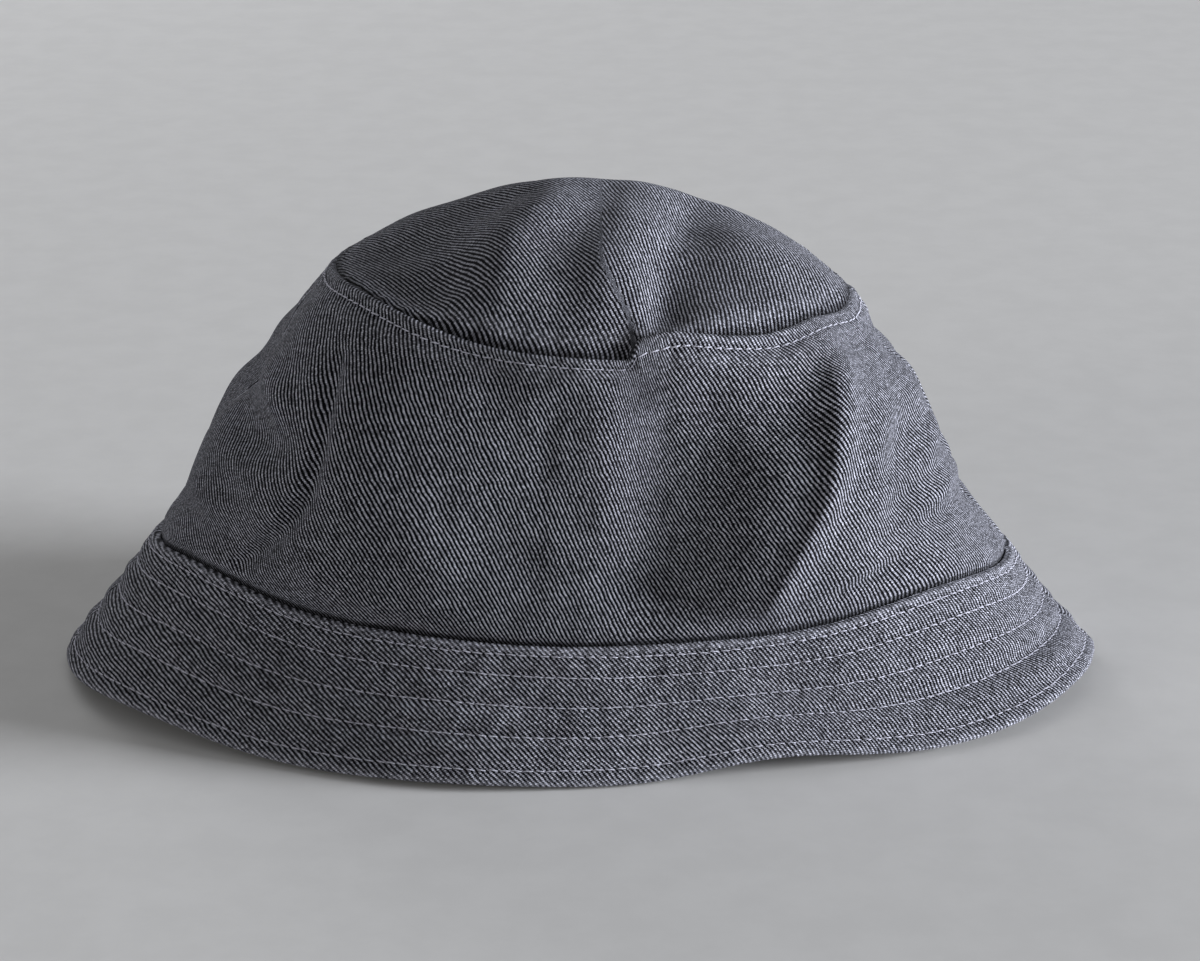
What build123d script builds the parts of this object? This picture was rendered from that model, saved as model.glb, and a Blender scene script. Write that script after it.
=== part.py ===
"""A soft bucket hat of twill denim, standing on its brim.

The hat is a stack of oval cloth shells. Each is cut from two lofts through the same
oval sections, so that neighbouring layers share a face and none overlap. Millimetres,
+Z up, front towards -Y, origin on the ground in the middle of the brim's edge.
"""

import os

from build123d import *

# Driving dimensions: the half width and half depth of the hat's oval at each level.
HEM_Z = 0.0
HEM_WIDTH, HEM_DEPTH = 142.0, 86.0
BRIM_TOP_Z = 34.0
BRIM_TOP_WIDTH, BRIM_TOP_DEPTH = 117.5, 69.5
CROWN_STEP = 0.6  # how far the crown's foot stands inside the brim's folded top edge
CROWN_WAIST_Z = 73.0
CROWN_WAIST_WIDTH, CROWN_WAIST_DEPTH = 95.5, 69.0
TIP_SEAM_Z = 112.0
TIP_SEAM_WIDTH, TIP_SEAM_DEPTH = 69.5, 64.5
TIP_RISE = 17.5
TIP_INSET = 0.5  # how far the tip's edge stands inside the side panels' folded edge

# Cloth thicknesses, measured level.
DENIM = 0.9
LINING = 0.4
INTERLINING = 0.4
SWEATBAND = 1.2
THREAD = 0.35
THREAD_HEIGHT = 0.5
LABEL_THICKNESS = 0.4

# Places along the hat's slope, as shares of the brim's height down from its top seam.
BRIM_STITCH_SHARES = {
    "brim_seam_topstitch": 0.073,
    "brim_stitch_upper": 0.22,
    "brim_stitch_middle": 0.435,
    "brim_stitch_lower": 0.653,
    "hem_topstitch": 0.89,
}
TIP_STITCH_DROP = 3.3
SWEATBAND_HEIGHT = 32.0
SWEATBAND_STITCH_RISE = 3.0
LABEL_WIDTH, LABEL_HEIGHT = 18.0, 22.0
LABEL_BOTTOM_Z = BRIM_TOP_Z + 5.0

SLAB_SIDE = 2 * HEM_WIDTH + 60.0

os.makedirs("parts", exist_ok=True)


def oval(half_width, half_depth, height):
    """One oval section of the hat, level, at a height."""
    with BuildSketch(Plane.XY.offset(height)) as section:
        Ellipse(half_width, half_depth)
    return section.sketch


def crown_sections(depth):
    """The crown's three sections, drawn in by a depth through the cloth."""
    foot = CROWN_STEP + depth
    return [
        oval(BRIM_TOP_WIDTH - foot, BRIM_TOP_DEPTH - foot, BRIM_TOP_Z),
        oval(CROWN_WAIST_WIDTH - depth, CROWN_WAIST_DEPTH - depth, CROWN_WAIST_Z),
        oval(TIP_SEAM_WIDTH - depth, TIP_SEAM_DEPTH - depth, TIP_SEAM_Z),
    ]


def brim_sections(depth):
    """The brim's two sections, drawn in by a depth through the cloth."""
    return [
        oval(HEM_WIDTH - depth, HEM_DEPTH - depth, HEM_Z),
        oval(BRIM_TOP_WIDTH - depth, BRIM_TOP_DEPTH - depth, BRIM_TOP_Z),
    ]


def crown_layer(outer, inner):
    """A layer of the crown's wall between two depths, in the part being built."""
    loft(crown_sections(outer))
    loft(crown_sections(inner), mode=Mode.SUBTRACT)


def brim_layer(outer, inner):
    """A layer of the brim between two depths, in the part being built."""
    loft(brim_sections(outer), ruled=True)
    loft(brim_sections(inner), ruled=True, mode=Mode.SUBTRACT)


def keep_between(low, high):
    """Keeps what of the part being built lies between two heights."""
    with Locations((0, 0, (low + high) / 2)):
        Box(SLAB_SIDE, SLAB_SIDE, high - low, mode=Mode.INTERSECT)


def dome(depth):
    """The solid under the tip's dome at a depth through the cloth.

    A ball cut by the tip's upright oval edge, so the dome is round and its rim oval.
    """
    half_width = TIP_SEAM_WIDTH - TIP_INSET
    ball_radius = (half_width**2 + TIP_RISE**2) / (2 * TIP_RISE)
    with BuildPart() as filled:
        with BuildSketch(Plane.XY.offset(TIP_SEAM_Z)):
            Ellipse(half_width - depth, TIP_SEAM_DEPTH - TIP_INSET - depth)
        extrude(amount=TIP_RISE)
        with Locations((0, 0, TIP_SEAM_Z + TIP_RISE - ball_radius)):
            Sphere(ball_radius - depth, mode=Mode.INTERSECT)
    return filled.part


def write(piece, name):
    """Labels a finished piece and writes it as its own node."""
    piece.label = name
    export_step(piece, f"parts/{name}.step")


# The crown's tip and its lining: two thin domes, one under the other.
for name, outer, inner in (
    ("crown_tip", 0, DENIM),
    ("lining_tip", DENIM, DENIM + LINING),
):
    with BuildPart() as tip:
        add(dome(outer))
        add(dome(inner), mode=Mode.SUBTRACT)
    write(tip.part, name)

# Panels that come in a front and a back half, joined at the side seams.
HALVES = {"front": Keep.TOP, "back": Keep.BOTTOM}  # Plane.XZ looks towards the front
UNDER_BRIM = DENIM + INTERLINING
for half, side in HALVES.items():
    with BuildPart() as side_panel:
        crown_layer(0, DENIM)
        split(bisect_by=Plane.XZ, keep=side)
    write(side_panel.part, f"side_panel_{half}")

    with BuildPart() as side_lining:
        crown_layer(DENIM, DENIM + LINING)
        split(bisect_by=Plane.XZ, keep=side)
    write(side_lining.part, f"lining_side_{half}")

    with BuildPart() as upper_brim:
        brim_layer(0, DENIM)
        split(bisect_by=Plane.XZ, keep=side)
    write(upper_brim.part, f"upper_brim_{half}")

    with BuildPart() as interlining:
        brim_layer(DENIM, UNDER_BRIM)
        split(bisect_by=Plane.XZ, keep=side)
    write(interlining.part, f"brim_interlining_{half}")

    with BuildPart() as under_brim:
        brim_layer(UNDER_BRIM, UNDER_BRIM + DENIM)
        split(bisect_by=Plane.XZ, keep=side)
    write(under_brim.part, f"under_brim_{half}")

# The sweatband: a flat tape sewn round the inside of the head opening.
band_face = DENIM + LINING
with BuildPart() as sweatband:
    crown_layer(band_face, band_face + SWEATBAND)
    keep_between(BRIM_TOP_Z, BRIM_TOP_Z + SWEATBAND_HEIGHT)
write(sweatband.part, "sweatband")

# The thread of each sewn row lies as a thin closed band on the cloth that it holds.
for name, share in BRIM_STITCH_SHARES.items():
    row_z = BRIM_TOP_Z - share * (BRIM_TOP_Z - HEM_Z)
    with BuildPart() as brim_row:
        brim_layer(-THREAD, 0)
        keep_between(row_z - THREAD_HEIGHT / 2, row_z + THREAD_HEIGHT / 2)
    write(brim_row.part, name)

tip_row_z = TIP_SEAM_Z - TIP_STITCH_DROP
with BuildPart() as tip_row:
    crown_layer(-THREAD, 0)
    keep_between(tip_row_z - THREAD_HEIGHT / 2, tip_row_z + THREAD_HEIGHT / 2)
write(tip_row.part, "tip_topstitch")

band_row_z = BRIM_TOP_Z + SWEATBAND_STITCH_RISE
band_back = band_face + SWEATBAND
with BuildPart() as band_row:
    crown_layer(band_back, band_back + THREAD)
    keep_between(band_row_z - THREAD_HEIGHT / 2, band_row_z + THREAD_HEIGHT / 2)
write(band_row.part, "sweatband_stitch")

# The blank size label lies on the sweatband at the middle of the back.
with BuildPart() as label:
    crown_layer(band_back, band_back + LABEL_THICKNESS)
    keep_between(LABEL_BOTTOM_Z, LABEL_BOTTOM_Z + LABEL_HEIGHT)
    with Locations((0, BRIM_TOP_DEPTH / 2, LABEL_BOTTOM_Z + LABEL_HEIGHT / 2)):
        Box(LABEL_WIDTH, BRIM_TOP_DEPTH, LABEL_HEIGHT, mode=Mode.INTERSECT)
write(label.part, "size_label")
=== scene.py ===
"""A soft bucket hat of twill denim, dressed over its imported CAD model.

Every cloth piece is a closed shell worked out from three surfaces: the domed tip, the
crown's side and the brim. Each surface takes a place round the hat (a share of the way
round, from the wearer's left side by way of the back), a place up or down its slope in
millimetres, and an offset through the cloth, and gives a point with all the folds in it.
So panels, linings and stitches all lie on the same folded cloth. Lengths in this file
are millimetres until a mesh is made, which is in metres like the frame.
"""

import math

import bmesh
import bpy
import numpy as np
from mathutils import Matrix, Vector


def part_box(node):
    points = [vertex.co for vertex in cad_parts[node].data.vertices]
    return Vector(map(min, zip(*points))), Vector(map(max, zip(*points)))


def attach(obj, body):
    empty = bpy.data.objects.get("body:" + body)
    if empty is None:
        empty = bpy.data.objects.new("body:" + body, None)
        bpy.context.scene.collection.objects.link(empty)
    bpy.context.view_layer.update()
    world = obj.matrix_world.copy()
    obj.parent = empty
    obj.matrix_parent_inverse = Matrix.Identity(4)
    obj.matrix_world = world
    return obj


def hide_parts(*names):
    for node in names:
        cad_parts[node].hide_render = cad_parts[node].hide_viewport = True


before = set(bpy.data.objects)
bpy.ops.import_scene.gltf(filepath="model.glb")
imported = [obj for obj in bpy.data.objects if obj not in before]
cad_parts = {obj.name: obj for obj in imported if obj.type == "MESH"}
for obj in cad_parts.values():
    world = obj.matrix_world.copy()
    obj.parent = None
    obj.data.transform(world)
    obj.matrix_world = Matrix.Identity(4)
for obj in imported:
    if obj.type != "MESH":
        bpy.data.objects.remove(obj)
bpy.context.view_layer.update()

MM = 0.001
TAU = 2 * math.pi

# ---------------- sizes from the frame
hem_low, hem_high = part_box("upper_brim_front")
foot_low, foot_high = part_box("side_panel_front")
tip_low, tip_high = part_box("crown_tip")
HEM = (-hem_low.x / MM, -hem_low.y / MM)
FOOT = (-foot_low.x / MM, -foot_low.y / MM)
TIP = (-tip_low.x / MM + 0.5, -tip_low.y / MM + 0.5)
FOOT_Z = hem_high.z / MM
TIP_Z = foot_high.z / MM
TIP_RISE = tip_high.z / MM - TIP_Z
BRIM_TOP = (FOOT[0] + 0.6, FOOT[1] + 0.6)
WAIST_Z = 73.0
WAIST = (95.5, 69.0)
SIDE_SLOPE = 84.0  # the side panel's height along its slope
BRIM_SLOPE = 40.0  # the brim's width along its slope
HALVES = {"front": (0.5, 1.0), "back": (0.0, 0.5)}  # each half's shares of the way round

# Lengths round the hat, for cloth and thread that run along it.
HALF_ROUND = 298.0  # the brim's top seam from one side seam to the other
TIP_HALF_ROUND = 211.0  # the same along the tip's seam
SEAM_ROUND, HEM_ROUND = 597.0, 712.0
TIP_ROW_ROUND, BAND_ROW_ROUND = 440.0, 585.0
BAND_ROUND = 590.0
OPENING_ROUND = 580.0
TIP_RADIUS = 66.0

# Cloth through its thickness, as offsets from the outer face.
DENIM = 0.9
LINING_OUT, LINING_IN = -1.8, -2.2
BAND_OUT, BAND_IN = -2.3, -3.5
INTER_OUT, INTER_IN = -0.97, -1.33
UNDER_OUT, UNDER_IN = -1.4, -2.3
UNDER_DEEPEST = 1.08  # the most that the under brim's lower face is drawn in

BRIM_ROWS = {  # distance below the brim's top seam
    "brim_seam_topstitch": 3.0,
    "brim_stitch_upper": 8.8,
    "brim_stitch_middle": 17.4,
    "brim_stitch_lower": 26.1,
    "hem_topstitch": 35.6,
}
UNDER_ROWS = list(BRIM_ROWS.values())[1:]  # the rows that go through the under brim
TIP_ROW = SIDE_SLOPE - 3.3
BAND_HEIGHT = 32.0
BAND_ROW = 3.0
BAND_SET = 0.4  # how far in the band is set, to clear the lining's sag
LABEL_WIDTH, LABEL_LOW, LABEL_HIGH = 18.0, 6.0, 30.0
LABEL_OUT, LABEL_IN = BAND_IN - 0.9, BAND_IN - 1.25
RIB_PITCH = 1.0  # from one twill rib to the next, straight across them
PICK = 0.42  # from one weft yarn to the next
STITCH_PITCH, STITCH_GAP = 2.9, 0.30
THREAD_RADIUS, THREAD_RISE = 0.16, 0.13


# ---------------- small helpers
def smooth(x, low, high):
    """0 below low, 1 above high, and an even curve between."""
    t = np.clip((np.asarray(x, float) - low) / (high - low), 0, 1)
    return t * t * (3 - 2 * t)


def bump(x, centre, width):
    """A soft hill of height 1."""
    return np.exp(-(((x - centre) / width) ** 2))


def rolled(gap, radius):
    """How far a rounded edge has fallen away, from 1 at its end to 0 a radius from it."""
    return 1 - np.sqrt(np.clip(1 - (1 - np.clip(gap / radius, 0, 1)) ** 2, 0, 1))


def around(angle, centre, width):
    """A bump in degrees round the hat, which closes on itself."""
    gap = (angle - centre + 180.0) % 360.0 - 180.0
    return bump(gap, 0, width)


class Ripple:
    """Smooth irregular waves over a flat cloth, made of sines in seeded directions."""

    def __init__(self, wavelength, seed, count=14, stretch=1.0):
        rng = np.random.default_rng(seed)
        turn = rng.uniform(0, TAU, count)
        size = wavelength * rng.uniform(0.7, 1.6, count)
        self.ku = TAU / size * np.cos(turn)
        self.kv = TAU / size * np.sin(turn) / stretch
        self.phase = rng.uniform(0, TAU, count)
        self.gain = rng.uniform(0.5, 1.0, count)
        self.gain /= np.sqrt((self.gain**2).sum() / 2)

    def __call__(self, u, v):
        total = np.zeros(np.broadcast(u, v).shape)
        for ku, kv, phase, gain in zip(self.ku, self.kv, self.phase, self.gain):
            total += gain * np.sin(ku * u + kv * v + phase)
        return total


def along(px, py, points, width, height):
    """A soft ridge (or valley) over a bent line of (x, y, strength) points."""
    best = np.full(np.broadcast(px, py).shape, 1e9)
    strength = np.zeros_like(best)
    for (ax, ay, aw), (bx, by, bw) in zip(points, points[1:]):
        dx, dy = bx - ax, by - ay
        t = np.clip(((px - ax) * dx + (py - ay) * dy) / (dx * dx + dy * dy), 0, 1)
        gap = np.hypot(px - ax - t * dx, py - ay - t * dy)
        near = gap < best
        best = np.where(near, gap, best)
        strength = np.where(near, aw + (bw - aw) * t, strength)
    return height * strength * bump(best, 0, width)


def hollow(px, py, centre, size, height, turn=0.0):
    """A soft oval bulge (or hollow), its long side turned by some degrees."""
    c, s = math.cos(math.radians(turn)), math.sin(math.radians(turn))
    dx, dy = px - centre[0], py - centre[1]
    return height * np.exp(
        -(((dx * c + dy * s) / size[0]) ** 2) - ((dy * c - dx * s) / size[1]) ** 2
    )


# ---------------- the ovals
def oval_radius(phi, a, b, n):
    """The radius at an angle of a superellipse with half axes a and b."""
    return (np.abs(np.cos(phi) / a) ** n + np.abs(np.sin(phi) / b) ** n) ** (-1.0 / n)


def even_angles(a, b, n):
    """The angle at each even share of the way round an oval."""
    phi = np.linspace(0, TAU, 4001)
    r = oval_radius(phi, a, b, n)
    x, y = r * np.cos(phi), r * np.sin(phi)
    run = np.concatenate([[0], np.cumsum(np.hypot(np.diff(x), np.diff(y)))])
    return run / run[-1], phi


SQUARE_SEAM, SQUARE_WAIST = 2.05, 2.5
FOOT_TABLE = even_angles(*FOOT, SQUARE_SEAM)
TIP_TABLE = even_angles(*TIP, SQUARE_SEAM)
HEM_TABLE = even_angles(*HEM, SQUARE_SEAM)


def angle_at(share, t, low, high):
    """The angle for a share of the way round, between two levels' tables."""
    lap = np.floor(share)
    inside = share - lap
    a = np.interp(inside, low[0], low[1])
    b = np.interp(inside, high[0], high[1])
    return a + (b - a) * t + lap * TAU


def through(z, foot, waist, top):
    """The curve through three heights' values."""
    z0, z1, z2 = FOOT_Z, WAIST_Z, TIP_Z
    return (
        foot * (z - z1) * (z - z2) / ((z0 - z1) * (z0 - z2))
        + waist * (z - z0) * (z - z2) / ((z1 - z0) * (z1 - z2))
        + top * (z - z0) * (z - z1) / ((z2 - z0) * (z2 - z1))
    )


def crown_base(share, h):
    """A point of the crown's side before any fold, h up its slope."""
    t = h / SIDE_SLOPE
    z = FOOT_Z + (TIP_Z - FOOT_Z) * t
    a = through(z, FOOT[0], WAIST[0], TIP[0])
    b = through(z, FOOT[1], WAIST[1], TIP[1])
    middle = np.clip(4 * t * (1 - t), 0, 1)
    n = SQUARE_SEAM + (SQUARE_WAIST - SQUARE_SEAM) * middle
    phi = angle_at(share, np.clip(t, 0, 1), FOOT_TABLE, TIP_TABLE)
    r = oval_radius(phi, a, b, n)
    return np.stack([r * np.cos(phi), r * np.sin(phi), z + 0 * phi], -1)


def brim_base(share, h):
    """A point of the brim before any fold, h down its slope."""
    t = h / BRIM_SLOPE
    a = BRIM_TOP[0] + (HEM[0] - BRIM_TOP[0]) * t
    b = BRIM_TOP[1] + (HEM[1] - BRIM_TOP[1]) * t
    phi = angle_at(share, np.clip(t, 0, 1), FOOT_TABLE, HEM_TABLE)
    r = oval_radius(phi, a, b, SQUARE_SEAM)
    return np.stack([r * np.cos(phi), r * np.sin(phi), FOOT_Z * (1 - t) + 0 * phi], -1)


def tip_base(share, rho):
    """A point of the domed tip before any fold, rho from its middle (0) to its seam (1)."""
    rim = crown_base(share, np.full_like(rho, SIDE_SLOPE))
    rise = TIP_RISE * (1 - np.clip(rho, 0, 1) ** 2.5)
    return np.stack([rim[..., 0] * rho, rim[..., 1] * rho, TIP_Z + rise], -1)


def outward(base, share, h):
    """Unit normals of a base surface whose h grows upward, by small steps."""
    step_share, step_h = 2e-4, 0.2
    du = base(share + step_share, h) - base(share - step_share, h)
    dv = base(share, h + step_h) - base(share, h - step_h)
    n = np.cross(du, dv)
    n /= np.linalg.norm(n, axis=-1, keepdims=True) + 1e-12
    return n


# ---------------- the folds
CREASE = Ripple(34.0, 11)
FINE = Ripple(13.0, 12)
BACK_CREASE = Ripple(46.0, 13, stretch=1.6)
TIP_RIPPLE = Ripple(30.0, 14)
BRIM_RIPPLE = Ripple(38.0, 15)
BRIM_FINE = Ripple(11.0, 16)
PUCKER = Ripple(5.2, 17, count=18)
CROWN_RADIUS, BRIM_RADIUS = 88.0, 105.0  # which turn an angle into millimetres of cloth


def corner_fold(x, z):
    """The flattened front's corner on the +X side: falls in sharply, then climbs to it."""
    crest = 58 - 12 * smooth(78 - z, 0, 42)
    floor = 21.0
    high = 7.5 + 3.0 * smooth(z, 66, 88) - 4.0 * smooth(z, 90, 106)
    climb = np.clip((x - floor) / (crest - floor), 0, 1) ** (1 + 0.5 * smooth(z, 66, 92))
    past = x - crest
    profile = (
        -4.6 * smooth(x, floor - 19, floor)
        + (4.6 + high) * (climb + 0.12 * np.sin(TAU * climb) * (climb - 1))
        - 4.2 * smooth(past, -1, 12)
        + (4.2 - high) * smooth(past, 10, 40)
    )
    ceiling = 101 + 0.16 * (x - floor)
    return profile * smooth(ceiling - z, 0, 9) * smooth(z, 34, 50)


def front_folds(x, z):
    """Folds of the crown's front, seen as the plane of x and z."""
    return (
        corner_fold(x, z)
        # the flattened front's other corner, broad and shallow
        + hollow(x, z, (-56, 74), (26, 36), 5.5, 8)
        + hollow(x, z, (51, 93), (10, 8), -4.0, -20)
        + along(x, z, [(68, 110, 0.8), (55, 106, 1), (41, 102, 0.8), (30, 99, 0)], 4.2, 3.4)
        + along(x, z, [(14, 110, 0.5), (28, 110, 1), (42, 109, 1), (56, 111, 0.3)], 2.4, -1.2)
        + along(x, z, [(60, 106, 0.2), (60, 96, 0.8), (60, 84, 1), (59, 70, 0.9),
                       (54, 57, 0.5), (50, 46, 0.1)], 4, 2.2)
        + hollow(x, z, (24, 76), (10, 22), 1.3)
        + hollow(x, z, (9, 50), (10, 4), -1.8)
        + hollow(x, z, (40, 47), (14, 4), -1.0, 8)
        # the corner on the -X side and its crease down to the brim
        + along(x, z, [(-63, 98, 0.3), (-65, 91, 1), (-67, 78, 1), (-70, 67, 1),
                       (-75, 59, 1), (-82, 50, 0.9), (-91, 39, 0.8)], 2.4, -3.2)
        + along(x, z, [(-54, 104, 0.4), (-57, 84, 1), (-61, 66, 0.9), (-68, 52, 0.7),
                       (-76, 42, 0.3)], 8, 1.5)
        + hollow(x, z, (-81, 84), (6, 5), 2.8)
        + hollow(x, z, (-86, 73), (11, 6), -4.0, 20)
        + hollow(x, z, (-101, 52), (8, 6), 1.8)
        + hollow(x, z, (-92, 60), (7, 4), -1.4, 30)
        + hollow(x, z, (-70, 48), (5, 5), 1.2)
        + along(x, z, [(-8, 104, 0), (-10, 94, 1), (-12, 80, 0.9), (-17, 66, 0)], 3.4, -0.6)
        # the puckered cloth past the ridge
        + hollow(x, z, (91, 78), (5, 7), 3.6)
        + hollow(x, z, (79, 80), (5, 8), -2.8)
        + hollow(x, z, (95, 64), (5, 5), 3.0, 20)
        + hollow(x, z, (83, 63), (5, 5), -2.6)
        + hollow(x, z, (84, 89), (6, 4), 1.2, -30)
        + hollow(x, z, (103, 52), (6, 5), 1.4)
        + along(x, z, [(64, 42, 0.3), (72, 43, 1), (84, 45, 1), (95, 47, 0.4)], 2.3, -1.6)
        + along(x, z, [(62, 47, 0.2), (74, 49, 1), (86, 52, 0.6)], 3.5, 1.1)
    )


def back_folds(x, z):
    """Folds of the crown's back, looser than the front's."""
    return (
        hollow(x, z, (-19, 72), (36, 30), -4.2)
        + along(x, z, [(-62, 110, 0.6), (-64, 84, 1), (-66, 60, 0.9), (-73, 40, 0.4)], 11, 5.2)
        + along(x, z, [(53, 106, 0.8), (58, 82, 1), (64, 60, 0.7), (75, 41, 0.2)], 11, 4.6)
        + along(x, z, [(-36, 101, 0), (-32, 86, 1), (-21, 74, 0.8), (-8, 70, 0)], 5, -2.4)
        + along(x, z, [(32, 98, 0), (28, 80, 1), (32, 60, 0.8), (43, 43, 0.3)], 6, -2.6)
        + along(x, z, [(-50, 58, 0), (-34, 50, 1), (-12, 52, 0.7), (4, 46, 0)], 4.5, 1.7)
        + 0.6 * BACK_CREASE(x, z)
    )


def side_folds(x, y, z):
    """Folds over the two ends of the oval, and the crown's uneven outline there."""
    plus, minus = smooth(x, 62, 88), smooth(-x, 62, 88)
    return plus * (
        1.2 * bump(z, 88, 6) - 2.6 * bump(z, 98, 5) + 1.0 * bump(z, 61, 4)
        - 1.3 * bump(z, 54, 3.5) - 3.0 * bump(z, 55, 16)
        + along(y, z, [(12, 100, 0.3), (18, 80, 1), (24, 58, 0.6)], 7, -2.2)
        + along(y, z, [(-12, 92, 0), (-6, 76, 1), (4, 62, 0.8), (2, 48, 0)], 5, -1.6)
    ) + minus * (
        2.6 * bump(z, 67, 12) - 1.7 * bump(z, 79, 7) + 1.0 * bump(z, 101, 5)
        - 1.2 * bump(z, 47, 6)
        + along(y, z, [(-8, 100, 0), (-2, 84, 1), (4, 64, 0.8), (2, 48, 0)], 7, -2.2)
        + along(y, z, [(20, 100, 0.3), (24, 80, 1), (28, 58, 0.6)], 8, 2.0)
    )


def crown_push(p):
    """How far the folds push the side panels out, at points of the base surface."""
    x, y, z = p[..., 0], p[..., 1], p[..., 2]
    push = (
        smooth(-y, 4, 26) * front_folds(x, z)
        + smooth(y, 4, 26) * back_folds(x, z)
        + side_folds(x, y, z)
    )
    calm = smooth(z, FOOT_Z, FOOT_Z + 9) * (0.35 + 0.65 * smooth(TIP_Z - z, 0, 10))
    run = np.arctan2(x, -y) * CROWN_RADIUS
    return push * calm + 0.15 * CREASE(run, z) * calm + 0.10 * FINE(run, z)


def around_front(p):
    """Degrees round the hat from the middle of the front, positive to the +X side."""
    return np.degrees(np.arctan2(p[..., 0], -p[..., 1]))


def seam_shift(p):
    """How the tip's seam as a whole is moved from its level oval."""
    x, y, turn = p[..., 0], p[..., 1], around_front(p)
    front = smooth(-y, 10, 45)
    drop = (
        -1.2 * around(turn, -4, 34) + 2.2 * around(turn, -60, 18)
        + 3.6 * smooth(turn, 6, 22) * smooth(72 - turn, 0, 18) - 1.7 * around(turn, 41, 11)
        - 3.0 * around(turn, 180, 50) - 3.6 * around(turn, -118, 20)
        - 3.4 * around(turn, 108, 18)
    )
    angle = np.radians(turn)
    wave = 0.35 * np.sin(angle * 5 + 0.6) + 0.25 * np.sin(angle * 9 + 2.0)
    return np.stack([0 * x, 1.2 * front * bump(x, 16, 10), drop + wave], -1)


def notch_shift(p, width=0.8):
    """The step in the tip's seam where the tip's fold runs into it."""
    x, front = p[..., 0], smooth(-p[..., 1], 10, 45)
    past = 0.5 + 0.5 * np.tanh((x - 10.5) / width)
    step = -2.2 * bump(x, 8, 34) * (1 - past) + 2.6 * bump(x, 13.5, 14) * past
    return np.stack([0 * x, 0 * x, front * step], -1)


def foot_lift(turn):
    """How far the seam of crown and brim is moved up from its level oval."""
    return (
        6.0 * around(turn, -72, 15) + 5.8 * around(turn, 67, 17)
        - 1.6 * around(turn, -8, 28) - 1.2 * around(turn, 180, 40)
    )


def hem_lift(turn):
    """How far the brim's edge is off the ground, round the hat."""
    return (
        5.8 * around(turn, 34, 17) + 4.8 * around(turn, -68, 16)
        + 5.4 * around(turn, 80, 14) + 3.5 * around(turn, 128, 22)
        + 2.6 * around(turn, -140, 24) + 1.2 * around(turn, -100, 12)
    )


def brim_push(p, h):
    """How far waves and folds push the brim out, at points of its base surface."""
    turn = around_front(p)
    low = np.clip(h / BRIM_SLOPE, 0, 1.1)
    flip = (
        3.2 * around(turn, 66, 17) - 1.2 * around(turn, 30, 18)
        + 4.6 * around(turn, -20, 26) + 1.8 * around(turn, -78, 16)
        - 2.0 * around(turn, -140, 24) + 2.6 * around(turn, 165, 26)
        - 1.6 * around(turn, 128, 18)
    )
    run = np.radians(turn) * BRIM_RADIUS
    kick = 2.0 * around(turn, 68, 20) * (smooth(h, 25, 40) - 0.9 * bump(h, 24.5, 3.5))
    return (
        flip * low**1.6
        + kick
        + (0.22 * BRIM_RIPPLE(run, h) + 0.07 * BRIM_FINE(run, h)) * smooth(h, 0, 6)
    )


def fold_line(y):
    """Where the bottom of the tip's fold runs, from the seam's notch towards the back."""
    return 18.5 + 0.17 * (y + 32) + 3.0 * smooth(y, -30, -62)


def pinch_line(y):
    """Where the tip's cloth is pinched: from the notch, then straight to the back."""
    return 2.0 + 8.0 * smooth(-y, 36, 60)


def tip_fold(x, y):
    """The fold that runs back from the seam's notch: steep to -X, a long slope to +X."""
    gap = x - fold_line(y)
    valley = -4.5 * np.where(gap < 0, bump(gap, 0, 5.0), bump(gap, 0, 13.0))
    valley = valley - 1.2 * bump(gap, 1.0, 4.0) * smooth(y, -30, -52)
    ridge = 2.4 * bump(gap, -14.0, 8.0)
    length = smooth(48 - y, 0, 40) * (0.55 + 0.45 * smooth(y, -62, -42))
    crease = along(x, y, [(11, -66, 1), (9, -50, 1), (6, -36, 0.6), (4, -6, 0.0)], 2.2, -0.2)
    return (valley + ridge) * length + crease


def tip_push(p, rho):
    """How far folds push the tip up, at points of its base surface."""
    x, y = p[..., 0], p[..., 1]
    fade = 1 - np.clip(rho, 0, 1) ** 13
    folds = (
        # the fold that runs back from the notch in the seam
        tip_fold(x, y)
        # the soft ridge that parts the fallen -X side from the middle
        + along(x, y, [(-31, -52, 0.5), (-25, -34, 1), (-16, -12, 1), (-6, 8, 0.8),
                       (2, 36, 0.1)], 12, 4.0)
        + hollow(x, y, (-46, -8), (20, 40), -5.0, -12)
        + hollow(x, y, (-38, -38), (12, 12), -2.6, 30)
        + along(x, y, [(27, -53, 0.5), (40, -46, 1), (53, -34, 0.6)], 5, 1.4)
        + hollow(x, y, (-24, 34), (28, 24), 2.2)
        + hollow(x, y, (34, 30), (14, 20), 1.8)
        + hollow(x, y, (46, -18), (14, 24), 1.0)
        + along(x, y, [(-42, 24, 0), (-17, 15, 1), (10, 20, 0.8), (32, 36, 0)], 7, 1.2)
    )
    return folds * fade + 0.30 * TIP_RIPPLE(x, y) * fade


def settle(p):
    """The whole hat's lean: the crown a little to +X, its +X side a little lower."""
    x, y, z = p[..., 0], p[..., 1], p[..., 2]
    up = smooth(z, FOOT_Z, TIP_Z + 4)
    low = smooth(z, 0, FOOT_Z)
    sink = x * (0.017 * low + 0.035 * up)
    return np.stack([x + 1.0 * low + 2.8 * up, y, z - sink], -1)


# ---------------- seams and sewn rows
ROW_ROUND = 640.0  # about the length of a sewn row, for its puckers


def row_dip(share, h, rows, depth=0.34, width=1.15):
    """The groove and the puckers that sewn rows draw in the cloth."""
    run = share * ROW_ROUND
    total = 0.0
    for k, row in enumerate(rows):
        gap = h - row
        pull = 1 + 0.25 * np.cos(run / STITCH_PITCH * TAU + k)
        total = total - depth * bump(gap, 0, width) * pull
        total = total + 0.06 * PUCKER(run, gap * 0.4 + 37 * k) * bump(gap, 0, 3.6)
    return total


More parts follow.
